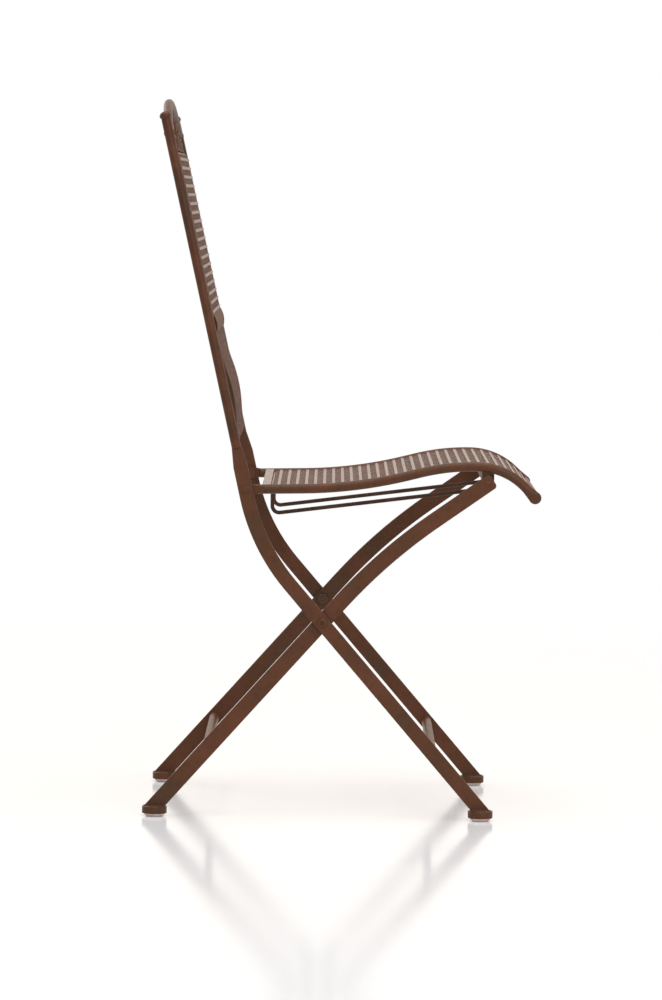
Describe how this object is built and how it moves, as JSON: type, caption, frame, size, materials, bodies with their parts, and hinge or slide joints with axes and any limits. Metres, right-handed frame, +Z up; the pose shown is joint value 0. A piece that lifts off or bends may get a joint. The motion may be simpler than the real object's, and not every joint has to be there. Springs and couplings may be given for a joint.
{
  "type": "folding garden chair",
  "caption": "Folding brown iron garden chair: crossed flat-bar legs, wave-bent strip-lattice seat on round rails, tall lattice back with arched top rail and scrolls.",
  "frame": {"origin": "on the floor, under the middle of the chair's box", "axes": "+X to the front of the chair, +Y to the sitter's left, +Z up"},
  "size_m": [0.5162, 0.4276, 0.939],
  "materials": {
    "brown_paint": "satin brown paint with a rusty mottle",
    "painted_fastener": "satin brown paint, worn on the heads",
    "glide_plastic": "pale moulded plastic"
  },
  "bodies": {
    "back_frame": {"right_back_post": "brown_paint", "left_back_post": "brown_paint", "right_front_leg": "brown_paint", "left_front_leg": "brown_paint", "post_finials": "brown_paint", "back_top_rail": "brown_paint", "panel_top_rail": "brown_paint", "panel_middle_rail": "brown_paint", "back_bottom_rail": "brown_paint", "back_uprights": "brown_paint", "back_cross_strips": "brown_paint", "arch_scrolls": "brown_paint", "front_stretcher": "brown_paint", "front_foot_caps": "brown_paint", "front_foot_glides": "glide_plastic", "leg_pivot_bolts": "painted_fastener", "leg_pivot_washers": "painted_fastener", "leg_pivot_nuts": "painted_fastener", "seat_pivot_bolts": "painted_fastener", "seat_pivot_washers": "painted_fastener", "seat_pivot_nuts": "painted_fastener"},
    "rear_legs": {"right_rear_leg": "brown_paint", "left_rear_leg": "brown_paint", "rear_stretcher": "brown_paint", "rear_foot_caps": "brown_paint", "rear_foot_glides": "glide_plastic", "rod_rivets": "painted_fastener"},
    "seat": {"right_seat_rail": "brown_paint", "left_seat_rail": "brown_paint", "seat_front_rail": "brown_paint", "seat_lengthwise_strips": "brown_paint", "seat_cross_strips": "brown_paint", "seat_rear_border": "brown_paint", "right_guide_wire": "brown_paint", "left_guide_wire": "brown_paint", "rod_stops": "brown_paint"},
    "slide_rod": {"slide_rod": "brown_paint"}
  },
  "joints": [
    {"name": "seat_fold", "type": "hinge", "parent": "back_frame", "child": "seat", "pos_m": [-0.12785, 0, 0.42966], "axis": [0, -1, 0], "range_deg": [0, 87]},
    {"name": "rear_leg_fold", "type": "hinge", "parent": "back_frame", "child": "rear_legs", "pos_m": [-0.0257, 0, 0.257], "axis": [0, -1, 0], "range_deg": [0, 65.81]},
    {"name": "rod_slide", "type": "slide", "parent": "seat", "child": "slide_rod", "axis": [-0.9917, 0, -0.1288], "range_m": [0, 0.2191]}
  ],
  "couplings": [
    {"joint": "rear_leg_fold", "follows": "seat_fold", "ratio": 0.75626},
    {"joint": "rod_slide", "follows": "seat_fold", "m_per_rad": 0.14416}
  ]
}
